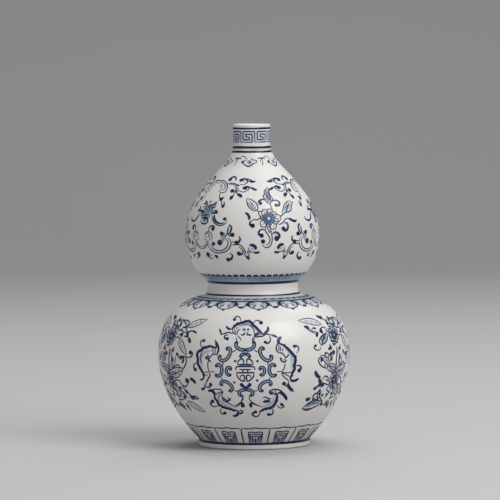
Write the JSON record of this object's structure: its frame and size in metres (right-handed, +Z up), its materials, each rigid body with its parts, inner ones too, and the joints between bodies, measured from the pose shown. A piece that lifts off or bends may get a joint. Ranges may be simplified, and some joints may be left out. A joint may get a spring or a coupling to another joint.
{
  "type": "double gourd vase",
  "caption": "Tall double gourd vase in blue and white porcelain: a small bulb on a larger one, joined by a plain waist collar, with a short tube neck and a low foot ring.",
  "frame": {"origin": "on the table under the middle of the foot", "axes": "+Z up along the vase's axis; -Y is the side that the picture shows"},
  "size_m": [0.1968, 0.1968, 0.33],
  "materials": {
    "painted_glaze": "gloss",
    "slip": "matte"
  },
  "bodies": {
    "root": {"foot_ring": "painted_glaze", "lower_bulb_base": "painted_glaze", "lower_bulb_shoulder": "painted_glaze", "waist_collar": "painted_glaze", "upper_bulb_base": "painted_glaze", "upper_bulb_shoulder": "painted_glaze", "neck": "painted_glaze", "foot_slip_seam": "slip", "lower_belly_slip_seam": "slip", "shoulder_slip_seam": "slip", "waist_slip_seam": "slip", "upper_belly_slip_seam": "slip", "neck_slip_seam": "slip"}
  },
  "joints": []
}
